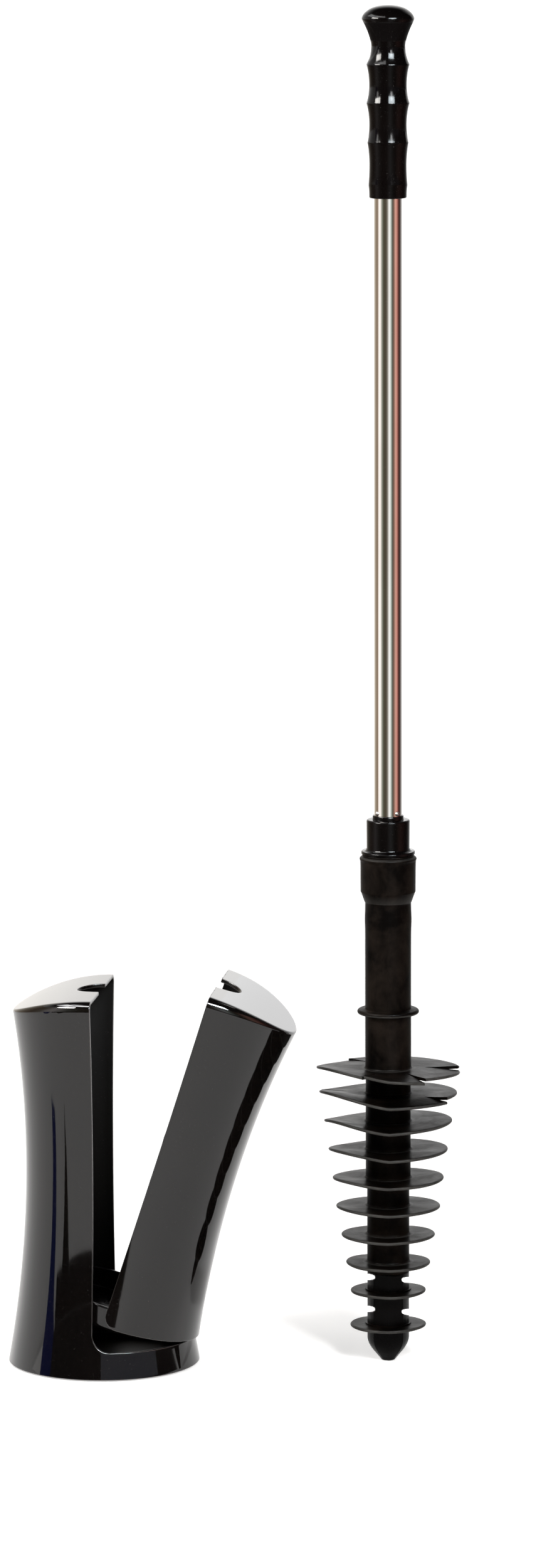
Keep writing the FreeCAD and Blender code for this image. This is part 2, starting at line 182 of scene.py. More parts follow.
def new_material(name, **constants):
    """Principled material. Constants are set straight on the shader's sockets."""
    material, nodes = blank_material(name)
    shader = nodes.add("BsdfPrincipled")
    output = nodes.add("OutputMaterial")
    nodes.join(shader.outputs["BSDF"], output.inputs["Surface"])
    nodes.fill(shader.inputs, **constants)
    place = nodes.add("TexCoord").outputs["Object"]
    return material, nodes, shader.inputs, place


# ---- Materials ----

DUST_TONE = (0.05, 0.047, 0.043)
# Paler rubber: rubbed wear, and also painted highlights and glints on the boot.
RUBBED_AND_HIGHLIGHT_TONE = (0.042, 0.04, 0.037)


def moulded_gloss(name, deep, lightened, roughness, ripple, index):
    """Polished black moulding: faint ripple, fine wiping marks and a little dust. Duller inside."""
    material, nodes, skin, place = new_material(name, IOR=index)
    patches = nodes.noise(place, 18.0, detail=4.0)
    wipes = nodes.noise(nodes.stretch(place, (260.0, 260.0, 34.0)), detail=5.0, roughness=0.65)
    specks = nodes.noise(place, 1500.0, detail=2.0, roughness=0.4)
    dust = nodes.remap(specks, 0.69, 0.76)
    tone = nodes.remap(patches, 0.35, 0.7)
    base = nodes.blend(tone, deep, lightened)
    dusty = nodes.blend(nodes.math("MULTIPLY", dust, 0.3), base, DUST_TONE)
    nodes.join(dusty, skin["Base Color"])
    scuffs = nodes.remap(wipes, 0.3, 0.75, roughness * 0.7, roughness * 1.6)
    inside = nodes.add("Attribute", attribute_name="inside").outputs["Fac"]
    scuffs = nodes.math("ADD", scuffs, nodes.math("MULTIPLY", inside, 0.38))
    nodes.join(nodes.math("ADD", scuffs, nodes.math("MULTIPLY", dust, 0.15)), skin["Roughness"])
    nodes.join(nodes.remap(inside, 0.0, 1.0, 0.5, 0.06), skin["Specular IOR Level"])
    waves = nodes.bump(nodes.noise(place, 24.0, detail=1.5), ripple)
    nodes.join(nodes.bump(wipes, 0.000004, 1.0, waves), skin["Normal"])
    return material


def rubber(name, deep, dry, roughness):
    """Moulded rubber: satin skin with fine grain, dry bloom and small pits; paler where marked, which is
    partly rubbed grey wear and partly painted highlight.
    """
    material, nodes, skin, place = new_material(name, IOR=1.08)
    bloom = nodes.noise(place, 55.0, detail=6.0, roughness=0.62, distortion=0.4)
    grain = nodes.noise(place, 1400.0, roughness=0.6)
    pits = nodes.noise(place, 420.0, detail=2.0)
    smear = nodes.noise(nodes.stretch(place, (60.0, 60.0, 14.0)), detail=4.0, roughness=0.6)
    tone = nodes.remap(nodes.math("ADD", bloom, nodes.math("MULTIPLY", smear, 0.5)), 0.62, 0.92)
    # The paler mark is partly rubbed wear and partly painted highlight and glint.
    lightened = nodes.add("Attribute", attribute_name="lightened").outputs["Fac"]
    lightened = nodes.math("MULTIPLY", lightened, nodes.remap(bloom, 0.3, 0.6, 0.5, 1.0))
    skin_tone = nodes.blend(tone, deep, dry)
    nodes.join(nodes.blend(lightened, skin_tone, RUBBED_AND_HIGHLIGHT_TONE), skin["Base Color"])
    nodes.join(nodes.remap(bloom, 0.3, 0.7, roughness - 0.08, roughness + 0.1), skin["Roughness"])
    grained = nodes.bump(grain, 0.00003, 0.7)
    hollows = nodes.bump(nodes.remap(pits, 0.3, 0.42), 0.00004, 0.6, grained)
    nodes.join(nodes.bump(bloom, 0.0003, 0.5, hollows), skin["Normal"])
    return material


def satin_plastic(name, deep, light, roughness):
    """Plain moulded plastic with a fine spark-eroded texture."""
    material, nodes, skin, place = new_material(name, IOR=1.11)
    cloud = nodes.noise(place, 40.0, detail=4.0)
    grain = nodes.noise(place, 2200.0, detail=2.0, roughness=0.6)
    nodes.join(nodes.blend(nodes.remap(cloud, 0.3, 0.7), deep, light), skin["Base Color"])
    nodes.join(nodes.remap(cloud, 0.3, 0.7, roughness - 0.05, roughness + 0.08), skin["Roughness"])
    nodes.join(nodes.bump(grain, 0.00002, 0.6), skin["Normal"])
    return material


def polished_steel(name, tint, stain, roughness):
    """Polished stainless steel: lengthways draw lines, cloudy patches and light scratches."""
    material, nodes, skin, place = new_material(name, Metallic=1.0)
    lines = nodes.noise(nodes.stretch(place, (2600.0, 2600.0, 6.0)), roughness=0.6)
    cloud = nodes.noise(nodes.stretch(place, (45.0, 45.0, 12.0)), detail=5.0, roughness=0.6)
    nicks = nodes.noise(nodes.stretch(place, (300.0, 300.0, 900.0)), detail=2.0)
    patches = nodes.remap(cloud, 0.35, 0.75)
    nodes.join(nodes.blend(patches, tint, stain), skin["Base Color"])
    haze = nodes.remap(cloud, 0.3, 0.75, roughness * 0.75, roughness * 1.5)
    scratched = nodes.remap(nicks, 0.66, 0.74, 0.0, 0.045)
    nodes.join(nodes.math("ADD", haze, scratched), skin["Roughness"])
    drawn = nodes.bump(lines, 0.000006, 0.6)
    nodes.join(nodes.bump(nicks, 0.000004, 0.3, drawn), skin["Normal"])
    return material


# Name, dark and light colour, roughness; for gloss also ripple and refractive index.
CADDY_GLOSS = moulded_gloss("caddy_gloss", (0.002, 0.0016, 0.0014), (0.0036, 0.0027, 0.0023),
    0.035, 0.00005, 1.43)
# Rougher, much lighter copy for the rounded edges: its light colour is a painted highlight line.
CADDY_EDGE_HIGHLIGHT = moulded_gloss("caddy_edge_painted_highlight", (0.02, 0.0175, 0.017), (0.04, 0.035, 0.033),
    0.16, 0.00002, 1.5)
CUP_GLOSS = moulded_gloss("cup_plastic", (0.002, 0.0017, 0.0015), (0.004, 0.003, 0.0026),
    0.09, 0.00004, 1.45)
GRIP_GLOSS = moulded_gloss("grip_gloss", (0.0012, 0.0009, 0.0009), (0.0025, 0.0017, 0.0016),
    0.1, 0.00002, 1.14)
FERRULE_GLOSS = moulded_gloss("ferrule_gloss", (0.0014, 0.0012, 0.0011), (0.003, 0.002, 0.002),
    0.12, 0.00002, 1.16)
BOOT_RUBBER = rubber("boot_rubber", (0.0012, 0.0008, 0.0006), (0.009, 0.0062, 0.0044), 0.42)
# Darker copy of the boot rubber for the fins: painted shade that tones down the light on their tops.
SHADED_FIN_RUBBER = rubber("fin_rubber", (0.0005, 0.0003, 0.0002), (0.0042, 0.0025, 0.0016), 0.36)
PAD_RUBBER = rubber("pad_rubber", (0.012, 0.012, 0.012), (0.03, 0.03, 0.028), 0.7)
NOSE_PLASTIC = satin_plastic("nose_plastic", (0.0008, 0.0006, 0.0006), (0.002, 0.0016, 0.0015), 0.3)
INNER_PLASTIC = satin_plastic("inner_plastic", (0.03, 0.03, 0.03), (0.05, 0.05, 0.05), 0.45)
BASE_PLASTIC = satin_plastic("base_plastic", (0.007, 0.0045, 0.0035), (0.014, 0.008, 0.006), 0.4)
TUBE_STEEL = polished_steel("polished_steel", (0.57, 0.555, 0.535), (0.5, 0.475, 0.45), 0.055)
RIVET_STEEL = polished_steel("rivet_steel", (0.2, 0.18, 0.165), (0.13, 0.11, 0.1), 0.34)
SCREW_STEEL = polished_steel("screw_steel", (0.5, 0.5, 0.48), (0.38, 0.37, 0.35), 0.3)
PIN_STEEL = polished_steel("pin_steel", (0.55, 0.54, 0.53), (0.45, 0.44, 0.42), 0.2)

# CAD nodes that keep their own meshes.
CARRIED_OVER = {
    "tube_top_plug": INNER_PLASTIC,
    "handle_tube": TUBE_STEEL,
    "tube_bottom_plug": INNER_PLASTIC,
    "tube_rivets": RIVET_STEEL,
    "core_tube": INNER_PLASTIC,
    "base_plate": BASE_PLASTIC,
    "base_screws": SCREW_STEEL,
    "base_pad": PAD_RUBBER,
    "hinge_pin": PIN_STEEL,
    "drip_cup": CUP_GLOSS,
    "cup_screws": SCREW_STEEL,
}
for node_name, node_material in CARRIED_OVER.items():
    frame["nodes"][node_name].material_slots[0].material = node_material


# ---- Mesh helpers ----

def new_object(name, points, faces, material):
    mesh = bpy.data.meshes.new(name)
    mesh.from_pydata(points, [], faces)
    mesh.validate()
    mesh.polygons.foreach_set("use_smooth", [True] * len(mesh.polygons))
    mesh.materials.append(material)
    piece = bpy.data.objects.new(name, mesh)
    SCENE.collection.objects.link(piece)
    return piece


EDGE_SEGMENTS = 3
EDGE_ANGLE = radians(38)


def soften_edges(piece, width):
    """Rounds the sharp edges with a rougher, lighter material that paints a highlight line along them, and
    keeps the flat faces flat in the shading.
    """
    bevel = piece.modifiers.new("edges", "BEVEL")
    bevel.width = width
    bevel.segments = EDGE_SEGMENTS
    bevel.limit_method = "ANGLE"
    bevel.angle_limit = EDGE_ANGLE
    bevel.use_clamp_overlap = False
    # The rounding takes the lighter edge material, a painted highlight line.
    piece.data.materials.append(CADDY_EDGE_HIGHLIGHT)
    bevel.material = 1
    normals = piece.modifiers.new("normals", "WEIGHTED_NORMAL")
    normals.keep_sharp = True


def settle(piece, body, slot, *nodes):
    """Says which body the piece belongs to, and which CAD nodes it stands for. The slot is not used."""
    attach(piece, body)
    if nodes:
        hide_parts(*nodes)


def arc(centre, radius, start, end, steps):
    """Points of an arc in the (radius, height) plane. Angles in degrees from the +radius direction."""
    points = []
    for n in range(steps + 1):
        angle = radians(start + (end - start) * n / steps)
        points.append((centre[0] + radius * cos(angle), centre[1] + radius * sin(angle)))
    return points


def in_mm(*pairs):
    """Profile points given as radius and height in millimetres."""
    return [(radius * MM, height * MM) for radius, height in pairs]


def smooth_step(value):
    value = max(0.0, min(1.0, value))
    return value * value * (3 - 2 * value)


# ---- Caddy shells ----

# The sides are hollow arcs that meet at the waist. The crown is an arc across the top.
WAIST_R = 44.2 * MM
WAIST_Z = 118 * MM
FLARE_ARC = 638.6 * MM
UPPER_FLARE_ARC = 560 * MM
RIDGE_Z = 217.8 * MM
CROWN_ARC = 113 * MM
CROWN_LEAN = 0.019
WALL = 2.2 * MM
RIM_ROUND_FRONT = 5.2 * MM
RIM_ROUND_SIDE = 1.8 * MM
RIM_ROUND_LEAST = 0.5 * MM
TOP_HOLE_R = 14 * MM
RING_TOP = 16 * MM
FIXED_CORNER_R = 10 * MM
DOOR_EDGE_X = 0.4 * MM
DOOR_FOOT = 17.6 * MM
DOOR_CORNER_R = 8 * MM
RIB_WIDTH = 3 * MM
# Screw bosses: distance from the caddy's axis, radius, and distance of the wall behind.
BASE_BOSS = (46.5 * MM, 4 * MM, 51.9 * MM)
BASE_BOSS_TOP = 12.5 * MM
CUP_BOSS = (46 * MM, 2.6 * MM, 48.9 * MM)
EAR_BACK = 43.5 * MM
EAR_FRONT = 50 * MM
EAR_INNER = 9 * MM
EAR_OUTER = 16 * MM
EAR_TOP = 12.2 * MM
CUP_BOSS_LOW = 25.2 * MM
CUP_BOSS_TOP = 34 * MM
CUP_BOSS_TURN = 35
SHELL_EDGE = 0.4 * MM
FITTING_EDGE = 0.3 * MM
SIDE_ROWS = 40
FOOT_ROWS = 9
RIM_ROWS = 9
CROWN_ROWS = 16
SECTION_ROWS = FOOT_ROWS + SIDE_ROWS + RIM_ROWS + CROWN_ROWS + 1
HALF_COLUMNS = 88
CORNER_COLUMNS = 10


def side_r(height, inset):
    flare = FLARE_ARC if height < WAIST_Z else UPPER_FLARE_ARC
    return WAIST_R + flare - sqrt((flare + inset) ** 2 - (height - WAIST_Z) ** 2)


def crown_z(x, y, inset):
    """Top of the caddy: an arc across, a touch higher at the front than at the back."""
    return RIDGE_Z - CROWN_ARC + sqrt((CROWN_ARC - inset) ** 2 - x * x) - CROWN_LEAN * y


def section(angle, inset, foot, split):
    """Upright section of the caddy's skin in one direction, from its foot over the rim to the hole."""
    across = cos(angle)
    depth = sin(angle)
    rim_round = RIM_ROUND_FRONT + (RIM_ROUND_SIDE - RIM_ROUND_FRONT) * across ** 2
    rim_round = max(rim_round - inset, RIM_ROUND_LEAST)
    rim_r = WAIST_R
    for _ in range(30):
        rim_z = crown_z(rim_r * across, rim_r * depth, inset)
        rim_r = side_r(rim_z, inset)
    rim = Vector((rim_r, rim_z))
    step = 0.1 * MM
    up = Vector((side_r(rim_z + step, inset) - rim_r, step)).normalized()
    next_z = crown_z((rim_r - step) * across, (rim_r - step) * depth, inset)
    inward = Vector((-step, next_z - rim_z)).normalized()
    turn = up.angle(inward)
    reach = rim_round * tan(turn / 2)
    low, high = rim - up * reach, rim + inward * reach
    points = []
    for start, end, rows in ((foot, split, FOOT_ROWS), (split, low.y, SIDE_ROWS)):
        for n in range(rows):
            height = start + (end - start) * n / rows
            points.append((side_r(height, inset), height))
    weight = cos(turn / 2)
    for n in range(RIM_ROWS):
        t = n / RIM_ROWS
        parts = ((1 - t) ** 2, 2 * t * (1 - t) * weight, t * t)
        spot = (low * parts[0] + rim * parts[1] + high * parts[2]) / sum(parts)
        points.append((spot.x, spot.y))
    for n in range(CROWN_ROWS + 1):
        radius = high.x + (TOP_HOLE_R - high.x) * n / CROWN_ROWS
        points.append((radius, crown_z(radius * across, radius * depth, inset)))
    return points


def corner_height(x, edge_x, foot, corner):
    """Height of the parting line over the foot: level, with a rounded corner at the split."""
    run = min(max(x - edge_x, 0.0), corner)
    return foot + corner - sqrt(corner ** 2 - (corner - run) ** 2)


def half_angles(edge_x, corner):
    """Directions from -90 to +90 degrees, closer together where the parting line turns its corner."""
    radius = side_r(RING_TOP, 0)
    start = []
    for n in range(CORNER_COLUMNS):
        x = edge_x + corner * (1 - cos(pi / 2 * n / CORNER_COLUMNS))
        start.append(-acos(x / radius) if n else -pi / 2)
    first = -acos((edge_x + corner) / radius)
    middle = [first - 2 * first * n / HALF_COLUMNS for n in range(HALF_COLUMNS + 1)]
    return start + middle + [-angle for angle in reversed(start)]


def upright(angle, spot):
    return Vector((spot[0] * cos(angle), spot[0] * sin(angle), spot[1]))


def skin_faces(exists, columns, rows, wrap, offset):
    """Faces of a thick sheet on a grid: both sides of each cell, and a strip along each free edge."""
    def outer(c, k):
        return (c % columns if wrap else c) * rows + k

    def inner(c, k):
        return offset + outer(c, k)

    faces = []
    cells = columns if wrap else columns - 1
    for c in range(cells):
        for k in range(rows - 1):
            if not exists(c, k):
                continue
            ring = [(c, k), (c + 1, k), (c + 1, k + 1), (c, k + 1)]
            faces.append([outer(*spot) for spot in ring])
            faces.append([inner(*spot) for spot in reversed(ring)])
            beside = [(c, k - 1), (c + 1, k), (c, k + 1), (c - 1, k)]
            for n, (bc, bk) in enumerate(beside):
                inside = 0 <= bk < rows - 1 and (wrap or 0 <= bc < cells)
                if inside and exists(bc % cells, bk):
                    continue
                a, b = ring[n], ring[(n + 1) % 4]
                faces.append([outer(*b), outer(*a), inner(*a), inner(*b)])
    return faces


def fixed_shell():
    """Fixed half at full height, and the whole ring at the foot."""
    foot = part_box("fixed_shell")[0].z
    split = RING_TOP + FIXED_CORNER_R
    low_angles = half_angles(0.0, FIXED_CORNER_R)
    step = pi / HALF_COLUMNS
    high_angles = [pi / 2 + step * n for n in range(2, HALF_COLUMNS - 1)]
    angles = low_angles + high_angles
    ring_columns = len(low_angles) - 1
    points = []
    for inset in (0.0, WALL):
        for c, angle in enumerate(angles):
            x = side_r(RING_TOP, inset) * cos(angle)
            top = corner_height(x, 0.0, RING_TOP, FIXED_CORNER_R) if 0 < c < ring_columns else split
            points += [upright(angle, spot) for spot in section(angle, inset, foot, top)]

    def exists(c, k):
        return k < FOOT_ROWS or c >= ring_columns

    faces = skin_faces(exists, len(angles), SECTION_ROWS, True, len(points) // 2)
    piece = new_object("fixed_shell_skin", points, faces, CADDY_GLOSS)
    mark_inside(piece, drop_loose(piece, len(points) // 2))
    soften_edges(piece, SHELL_EDGE)
    settle(piece, "caddy", "caddy_gloss", "fixed_shell")


def door_shell():
    """Hinged half, built closed and then turned to its open stop."""
    angles = half_angles(DOOR_EDGE_X, DOOR_CORNER_R)
    split = DOOR_FOOT + 2 * DOOR_CORNER_R
    points = []
    for inset in (0.0, WALL):
        for angle in angles:
            x = side_r(DOOR_FOOT, inset) * cos(angle)
            foot = corner_height(x, DOOR_EDGE_X, DOOR_FOOT, DOOR_CORNER_R)
            for spot in section(angle, inset, foot, split):
                place = upright(angle, spot)
                place.x = max(place.x, DOOR_EDGE_X)
                points.append(place)
    faces = skin_faces(lambda c, k: True, len(angles), SECTION_ROWS, False, len(points) // 2)
    points = [swing_open(point) for point in points]
    piece = new_object("door_shell_skin", points, faces, CADDY_GLOSS)
    mark_inside(piece, len(points) // 2)
    soften_edges(piece, SHELL_EDGE)
    settle(piece, "door", "caddy_gloss", "door_shell")


def swing_open(point):
    """Place on the hinged half at its open stop, from its place when closed."""
    across, up = point.x - HINGE.x, point.z - HINGE.z
    turned_x = across * cos(OPEN_ANGLE) + up * sin(OPEN_ANGLE)
    turned_z = up * cos(OPEN_ANGLE) - across * sin(OPEN_ANGLE)
    return Vector((HINGE.x + turned_x, point.y, HINGE.z + turned_z))


def mark_points(piece, name, values):
    piece.data.attributes.new(name, "FLOAT", "POINT").data.foreach_set("value", values)


def mark_inside(piece, first_inner):
    """Marks the points of the shell's inner side, which is left less polished."""
    inner = len(piece.data.vertices) - first_inner
    mark_points(piece, "inside", [0.0] * first_inner + [1.0] * inner)


def drop_loose(piece, first_inner):
    """Removes points that no face uses. Gives the new number of the first inner point."""
    used = {index for polygon in piece.data.polygons for index in polygon.vertices}
    order = sorted(used)
    number = {index: n for n, index in enumerate(order)}
    points = [piece.data.vertices[index].co.copy() for index in order]
    faces = [[number[index] for index in polygon.vertices] for polygon in piece.data.polygons]
    piece.data.clear_geometry()
    piece.data.from_pydata(points, [], faces)
    piece.data.polygons.foreach_set("use_smooth", [True] * len(faces))
    return sum(index < first_inner for index in order)


def boss_outline(degrees, distance, radius, wall):
    """Outline of a round screw boss joined to the shell's wall by a narrow rib."""
    half = RIB_WIDTH / 2
    bend = math.degrees(asin(half / radius))
    spots = arc((distance, 0.0), radius, bend, 360 - bend, 24) + [(wall, -half), (wall, half)]
    turn = radians(degrees)
    return [(u * cos(turn) - v * sin(turn), u * sin(turn) + v * cos(turn)) for u, v in spots]


def add_prism(points, faces, outline, low, high):
    """Upright prism on an outline."""
    first, count = len(points), len(outline)
    points += [Vector((x, y, low)) for x, y in outline] + [Vector((x, y, high)) for x, y in outline]
    for n in range(count):
        after = (n + 1) % count
        faces.append([first + n, first + after, first + count + after, first + count + n])
    faces.append([first + n for n in reversed(range(count))])
    faces.append([first + count + n for n in range(count)])


def shell_fittings():
    """Inside the fixed half: four bosses for the base screws, and the hinge's two ears."""
    points, faces = [], []
    plate_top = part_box("base_plate")[1].z
    for n in range(4):
        outline = boss_outline(45 + 90 * n, *BASE_BOSS)
        add_prism(points, faces, outline, plate_top, BASE_BOSS_TOP)
    for low, high in ((EAR_INNER, EAR_OUTER), (-EAR_OUTER, -EAR_INNER)):
        outline = [(EAR_BACK, low), (EAR_FRONT, low), (EAR_FRONT, high), (EAR_BACK, high)]
        add_prism(points, faces, outline, plate_top, EAR_TOP)
    piece = new_object("shell_fittings", points, faces, CADDY_GLOSS)
    soften_edges(piece, FITTING_EDGE)
    settle(piece, "caddy", "caddy_gloss")


def door_fittings():
    """Inside the hinged half: two bosses that the drip cup is screwed to."""
    points, faces = [], []
    for degrees in (-CUP_BOSS_TURN, CUP_BOSS_TURN):
        outline = boss_outline(degrees, *CUP_BOSS)
        add_prism(points, faces, outline, CUP_BOSS_LOW, CUP_BOSS_TOP)
    piece = new_object("door_fittings", [swing_open(point) for point in points], faces, CADDY_GLOSS)
    soften_edges(piece, FITTING_EDGE)
    settle(piece, "door", "caddy_gloss")


fixed_shell()
door_shell()
shell_fittings()
door_fittings()


# ---- Lathe ----

def lathe(name, profile, columns, material, warp=None):
    """Closed (radius, height) profile turned about the plunger's axis. Radius 0 makes a pole."""
    points = []
    faces = []
    start = []
    for radius, height in profile:
        start.append(len(points))
        if radius <= 0:
            points.append(AXIS + upward(height))
            continue
        for c in range(columns):
            angle = 2 * pi * c / columns
            r, z = warp(radius, angle, height) if warp else (radius, height)
            points.append(AXIS + Vector((r * cos(angle), r * sin(angle), z)))
    for row in range(len(profile)):
        after = (row + 1) % len(profile)
        pole_here, pole_after = profile[row][0] <= 0, profile[after][0] <= 0
        if pole_here and pole_after:
            continue
        for c in range(columns):
            d = (c + 1) % columns
            if pole_here:
                faces.append([start[row], start[after] + d, start[after] + c])
            elif pole_after:
                faces.append([start[row] + c, start[row] + d, start[after]])
            else:
                faces.append([start[row] + c, start[row] + d, start[after] + d, start[after] + c])
    return new_object(name, points, faces, material)


# ---- Grip ----

GRIP_COLUMNS = 144
GROOVE_POWER = 2.1
NECK_POWER = 1.5
SCOOP_DIRECTION = CAMERA_TURN + radians(190)
SCOOP_HALF_TURN = radians(46)
SCOOP_HALF_HEIGHT = 12.5 * MM
SCOOP_Z = 757 * MM
SCOOP_DEPTH = 0.35 * MM
NECK_TOP = 767 * MM
GRIP_CRESTS = in_mm((11.0, 676.0), (11.6, 699.8), (12.15, 721.9), (12.15, 743.6))
GRIP_GROOVES = in_mm((10.5, 687.0), (10.55, 709.8), (10.6, 731.9))
NECK_R, NECK_Z = in_mm((9.75, 754))[0]
KNOB = in_mm((14.0, 766.8), (14.55, 767.8), (14.8, 769.0), (14.65, 770.1), (14.1, 771.2), (13.2, 772.35),
             (12.0, 773.4), (10.6, 774.4), (9.0, 775.2), (7.0, 775.85), (4.8, 776.35), (2.4, 776.62))


def scallop(low, high, groove_r, groove_z, steps, rise=GROOVE_POWER):
    """Curve from one crest to the next through the bottom of the groove between them."""
    points = []
    for n in range(steps):
        z = low[1] + (high[1] - low[1]) * n / steps
        side, power = (low, GROOVE_POWER) if z < groove_z else (high, rise)
        t = abs(z - groove_z) / abs(side[1] - groove_z)
        points.append((groove_r + (side[0] - groove_r) * t ** power, z))
    return points


def grip_scoop(radius, angle, height):
    """Shallow thumb scoop under the knob, with a crisp edge."""
    away = (angle - SCOOP_DIRECTION + pi) % (2 * pi) - pi
    reach = hypot(away / SCOOP_HALF_TURN, (height - SCOOP_Z) / SCOOP_HALF_HEIGHT)
    return radius - SCOOP_DEPTH * smooth_step((1.0 - reach) / 0.22), height


def grip():
    """Ribbed grip with a mushroom knob, hollow for the tube. The neck under the knob is matt."""
    low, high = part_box("grip")
    bore = (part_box("handle_tube")[1].x - AXIS.x) + 0.05 * MM
    profile = arc((10 * MM, low.z + 0.6 * MM), 0.6 * MM, -90, 0, 4)
    profile += scallop((10.6 * MM, low.z + 1.2 * MM), GRIP_CRESTS[0], 10.6 * MM, low.z + 1.3 * MM, 8)
    for n, (groove_r, groove_z) in enumerate(GRIP_GROOVES):
        profile += scallop(GRIP_CRESTS[n], GRIP_CRESTS[n + 1], groove_r, groove_z, 26)
    profile += scallop(GRIP_CRESTS[3], KNOB[0], NECK_R, NECK_Z, 34, NECK_POWER)
    profile += KNOB + [(0, high.z), (0, 750 * MM), (bore, 750 * MM), (bore, low.z)]
    piece = lathe("grip_moulding", profile, GRIP_COLUMNS, GRIP_GLOSS, grip_scoop)
    matt = []
    for radius, height in profile:
        matt += [0.9 * (SCOOP_Z < height < NECK_TOP)] * (GRIP_COLUMNS if radius > 0 else 1)
    mark_points(piece, "inside", matt)
    piece.data.set_sharp_from_angle(angle=radians(50))
    settle(piece, "plunger", "grip_gloss", "grip")


grip()


# ---- Rubber boot and the nose's fins ----

FIN_COLUMNS = 216
FIN_FILLET = 1.2 * MM
FIN_ROOT = 1 * MM
FIN_RIM = 0.85 * MM
FIN_STEPS = 12
# The sleeve steps in twice on its way down.
UPPER_R = 13.15 * MM
MIDDLE_R = 12.9 * MM
LOWER_R = 12.1 * MM
RING_Z = 204.2 * MM
MOUTH_Z = 294.1 * MM
MOUTH_BORE = 11.05 * MM
BOOT_BORE = 10.05 * MM
SPIGOT_LOW = 262 * MM
SLIT_WIDTH = 0.9 * MM
FIN_TILT = radians(1.2)
FIN_WAVE = 0.35 * MM
FIN_SKIN_R = 13.6 * MM
FIN_SKIN_TOP = 190 * MM
# Width of the paler fin rims: partly rubbed wear and partly a painted highlight.
WORN_AND_HIGHLIT_RIM = 0.8 * MM
SHARP_FIN = radians(42)


class Fin:
    """One fin: where it is, how far its sides stand above its front, and its slits.

    A slit is a direction in degrees, from the camera's right. Its flap is the lift at both ends of the
    stretch that follows. Twist turns the left side up at the front. Lean lets the right side down.
    """

    def __init__(self, height, radius, below, above, saddle, twist, lean=0.0, slits=(), flaps=(), inner=0.0):
        self.height = height * MM
        self.radius = radius * MM
        self.below = below
        self.above = above
        self.saddle = saddle * MM
        stretches = sorted(zip([self.snap(degrees) for degrees in slits], flaps))
        self.slits = [slit for slit, flap in stretches]
        self.flaps = [(start * MM, end * MM) for slit, (start, end) in stretches]
        self.inner = inner * MM
        self.twist = twist * MM
        self.lean = lean * MM

    @staticmethod
    def snap(degrees):
        turn = (degrees + math.degrees(CAMERA_TURN)) % 360
        return round(turn / 360 * FIN_COLUMNS) % FIN_COLUMNS

    def flap_lift(self, column, after):
        """Lift of the flap that a column is in. On a slit, after says which side of it is meant."""
        passed = sum(slit < column or (slit == column and after) for slit in self.slits)
        start = self.slits[passed - 1]
        end = self.slits[passed % len(self.slits)]
        length = (end - start) % FIN_COLUMNS or FIN_COLUMNS
        along = ((column - start) % FIN_COLUMNS) / length
        if along == 0 and not after:
            along = 1.0
        first, last = self.flaps[passed - 1]
        return first * (1 - along) ** 2 + last * along ** 2

    def rise(self, radius, column, after):
        """How far the rubber stands above or below a flat fin."""
        angle = 2 * pi * column / FIN_COLUMNS - CAMERA_TURN
        root = max(self.below, self.above) + FIN_FILLET
        reach = max(0.0, (radius - root) / (self.radius - root))
        side = abs(cos(angle)) - 0.5
        wave = noise.noise(Vector((cos(angle) * 1.4, sin(angle) * 1.4, self.height * 220)))
        lift = (self.saddle * side + FIN_WAVE * wave) * reach ** 1.6
        lift -= sin(angle) * tan(FIN_TILT) * radius * reach
        left = max(0.0, -cos(angle))
        lift -= self.twist * 2 * sin(angle) * left ** 1.5 * reach ** 1.5
        lift -= self.lean * cos(angle) * reach
        if self.slits and radius > self.inner:
            flap = (radius - self.inner) / (self.radius - self.inner)
            lift += self.flap_lift(column, after) * flap ** 1.3
        return lift

    def profile(self):
        """(radius, height) points from the lower root fillet round the rim to the upper one."""
        low, high = self.height - FIN_ROOT, self.height + FIN_ROOT
        under = arc((self.below + FIN_FILLET, low - FIN_FILLET), FIN_FILLET, 180, 90, 5)
        over = arc((self.above + FIN_FILLET, high + FIN_FILLET), FIN_FILLET, 270, 180, 5)
        root = max(self.below, self.above) + FIN_FILLET
        edge = self.radius - FIN_RIM
        run = [n / FIN_STEPS for n in range(1, FIN_STEPS + 1)]
        bottom = [(root + (edge - root) * t, low + (FIN_ROOT - FIN_RIM) * t) for t in run]
        top = [(r, 2 * self.height - z) for r, z in reversed(bottom)]
        rim = arc((edge, self.height), FIN_RIM, -90, 90, 8)[1:-1]
        return under + bottom + rim + top + over


# From the nose up, in mm.
FINS = (
    Fin(57.1, 24.2, LOWER_R, LOWER_R, 0.9, 0.0),
    Fin(73.4, 26.9, LOWER_R, LOWER_R, 0.9, 0.3),
    Fin(90.1, 29.9, LOWER_R, LOWER_R, 1.0, 0.7),
    Fin(106.5, 31.9, LOWER_R, MIDDLE_R, 1.4, 1.2),
    Fin(123.1, 34.2, MIDDLE_R, MIDDLE_R, 1.9, 2.3),
    Fin(139.6, 36.7, MIDDLE_R, MIDDLE_R, 2.3, 3.0),
    Fin(155.7, 39.5, MIDDLE_R, MIDDLE_R, 2.2, 3.2, lean=0.5, slits=(167, -31),
        flaps=((0.2, -2.0), (0.6, 0.4)), inner=24.0),
    Fin(170.3, 41.08, MIDDLE_R, UPPER_R, 1.0, 3.0, lean=1.2, slits=(5, 80, 123, -112, -60),
        flaps=((1.1, 0.2), (0.0, 0.9), (-0.4, -0.3), (0.6, -1.9), (0.5, -1.4)), inner=21.0),
)


